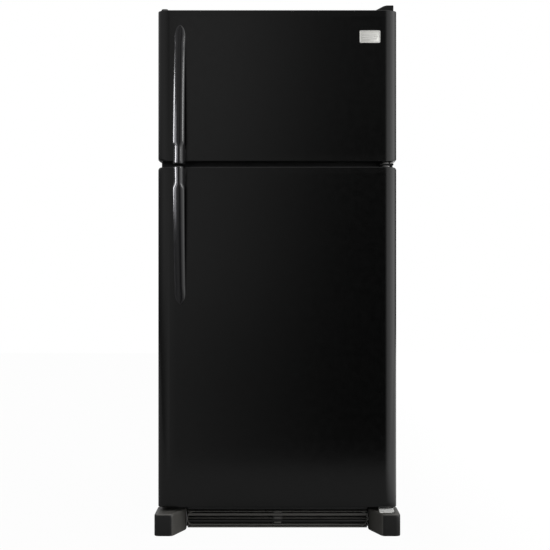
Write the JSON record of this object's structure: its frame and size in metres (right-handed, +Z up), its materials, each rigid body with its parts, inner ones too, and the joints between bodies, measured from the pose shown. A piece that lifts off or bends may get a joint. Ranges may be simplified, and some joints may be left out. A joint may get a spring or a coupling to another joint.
{
  "type": "top freezer refrigerator",
  "caption": "Upright refrigerator with a freezer above and a fresh-food compartment below, right-hinged doors with vertical bar handles, louvred toe grille and corner foot covers.",
  "frame": {"origin": "centre of the object's box on the floor", "axes": "+Z up, front of the doors towards -Y, +X towards the hinge side"},
  "size_m": [0.772, 0.831, 1.68],
  "materials": {
    "door_paint": "smooth semi-gloss black enamel",
    "cabinet_paint": "fine-textured black enamel",
    "trim_black": "satin moulded",
    "handle_gloss": "high gloss",
    "grille_plastic": "satin moulded",
    "foot_plastic": "satin moulded",
    "gasket": "soft matte",
    "liner": "vacuum-formed semi-gloss",
    "foam": "rigid cellular foam",
    "galvanised": "zinc-coated sheet",
    "zinc": "zinc plate",
    "badge": "satin plate",
    "compressor_paint": "satin black enamel",
    "coil_black": "black enamel tube",
    "coil_aluminium": "mill finish",
    "clear_plastic": "clear moulded plastic",
    "shelf_glass": "tempered glass",
    "white_plastic": "moulded",
    "grey_plastic": "moulded",
    "wire": "vinyl-coated steel wire",
    "roller_rubber": "hard rubber"
  },
  "bodies": {
    "cabinet": {"cabinet_shell": "cabinet_paint", "back_panel": "galvanised", "cabinet_foam": "foam", "freezer_liner": "liner", "fridge_liner": "liner", "base_frame": "galvanised", "compressor": "compressor_paint", "condenser_coil": "coil_black", "condenser_fan_motor": "galvanised", "rear_access_cover": "galvanised", "power_inlet": "trim_black", "toe_grille": "grille_plastic", "foot_cover_left": "foot_plastic", "foot_cover_right": "foot_plastic", "top_hinge": "zinc", "top_hinge_cover": "trim_black", "center_hinge": "zinc", "bottom_hinge": "zinc", "evaporator_coil": "coil_aluminium", "evaporator_cover": "white_plastic", "evaporator_fan_motor": "galvanised", "freezer_shelf": "wire", "control_housing": "white_plastic", "lamp_lens": "clear_plastic", "shelf_upper": "shelf_glass", "shelf_lower": "shelf_glass", "crisper_cover": "shelf_glass"},
    "freezer_door": {"freezer_door_panel": "door_paint", "freezer_door_foam": "foam", "freezer_door_liner": "liner", "freezer_door_cap_top": "trim_black", "freezer_door_cap_bottom": "trim_black", "freezer_door_gasket": "gasket", "freezer_handle": "handle_gloss", "nameplate": "badge", "freezer_door_bin_lower": "clear_plastic", "freezer_door_bin_upper": "clear_plastic"},
    "fridge_door": {"fridge_door_panel": "door_paint", "fridge_door_foam": "foam", "fridge_door_liner": "liner", "fridge_door_cap_top": "trim_black", "fridge_door_cap_bottom": "trim_black", "fridge_door_gasket": "gasket", "fridge_handle": "handle_gloss", "fridge_door_bin_lower": "clear_plastic", "fridge_door_bin_upper": "clear_plastic", "dairy_compartment": "clear_plastic"},
    "condenser_fan": {"condenser_fan_blade": "grey_plastic"},
    "evaporator_fan": {"evaporator_fan_blade": "grey_plastic"},
    "temperature_dial": {"temperature_knob": "grey_plastic"},
    "switch_plunger": {"light_switch": "white_plastic"},
    "left_crisper": {"crisper_left": "clear_plastic"},
    "right_crisper": {"crisper_right": "clear_plastic"},
    "left_humidity_slider": {"humidity_slider_left": "white_plastic"},
    "right_humidity_slider": {"humidity_slider_right": "white_plastic"},
    "left_leg": {"leveling_leg_left": "zinc"},
    "right_leg": {"leveling_leg_right": "zinc"},
    "left_roller": {"rear_roller_left": "roller_rubber"},
    "right_roller": {"rear_roller_right": "roller_rubber"},
    "butter_flap": {"dairy_flap": "clear_plastic"}
  },
  "joints": [
    {"name": "freezer_door_hinge", "type": "hinge", "parent": "cabinet", "child": "freezer_door", "pos_m": [0.348, -0.3255, 1.4], "axis": [0, 0, 1], "range_deg": [0, 125]},
    {"name": "fridge_door_hinge", "type": "hinge", "parent": "cabinet", "child": "fridge_door", "pos_m": [0.348, -0.3255, 0.6], "axis": [0, 0, 1], "range_deg": [0, 125]},
    {"name": "left_crisper_slide", "type": "slide", "parent": "cabinet", "child": "left_crisper", "axis": [0, -1, 0], "range_m": [0, 0.1]},
    {"name": "right_crisper_slide", "type": "slide", "parent": "cabinet", "child": "right_crisper", "axis": [0, -1, 0], "range_m": [0, 0.1]},
    {"name": "left_humidity_slide", "type": "slide", "parent": "left_crisper", "child": "left_humidity_slider", "axis": [1, 0, 0], "range_m": [-0.02, 0.02]},
    {"name": "right_humidity_slide", "type": "slide", "parent": "right_crisper", "child": "right_humidity_slider", "axis": [1, 0, 0], "range_m": [-0.02, 0.02]},
    {"name": "butter_flap_hinge", "type": "hinge", "parent": "fridge_door", "child": "butter_flap", "pos_m": [-0.128, -0.196, 1.094], "axis": [1, 0, 0], "range_deg": [0, 85]},
    {"name": "temperature_dial_turn", "type": "hinge", "parent": "cabinet", "child": "temperature_dial", "pos_m": [0.08, -0.0905, 1.106], "axis": [0, 1, 0], "range_deg": [-135, 135]},
    {"name": "switch_plunger_slide", "type": "slide", "parent": "cabinet", "child": "switch_plunger", "axis": [0, -1, 0], "range_m": [0, 0.006]},
    {"name": "evaporator_fan_spin", "type": "hinge", "parent": "cabinet", "child": "evaporator_fan", "pos_m": [0, 0.2725, 1.49], "axis": [0, 1, 0], "continuous": true},
    {"name": "condenser_fan_spin", "type": "hinge", "parent": "cabinet", "child": "condenser_fan", "pos_m": [-0.06, 0.2845, 0.18], "axis": [1, 0, 0], "continuous": true},
    {"name": "left_leg_screw", "type": "hinge", "parent": "cabinet", "child": "left_leg", "pos_m": [-0.35, -0.2475, 0.04], "axis": [0, 0, 1], "continuous": true},
    {"name": "right_leg_screw", "type": "hinge", "parent": "cabinet", "child": "right_leg", "pos_m": [0.35, -0.2475, 0.04], "axis": [0, 0, 1], "continuous": true},
    {"name": "left_roller_spin", "type": "hinge", "parent": "cabinet", "child": "left_roller", "pos_m": [-0.355, 0.3495, 0.024], "axis": [1, 0, 0], "continuous": true},
    {"name": "right_roller_spin", "type": "hinge", "parent": "cabinet", "child": "right_roller", "pos_m": [0.355, 0.3495, 0.024], "axis": [1, 0, 0], "continuous": true}
  ],
  "couplings": [
    {"joint": "switch_plunger_slide", "follows": "fridge_door_hinge", "m_per_rad": 0.00275}
  ]
}
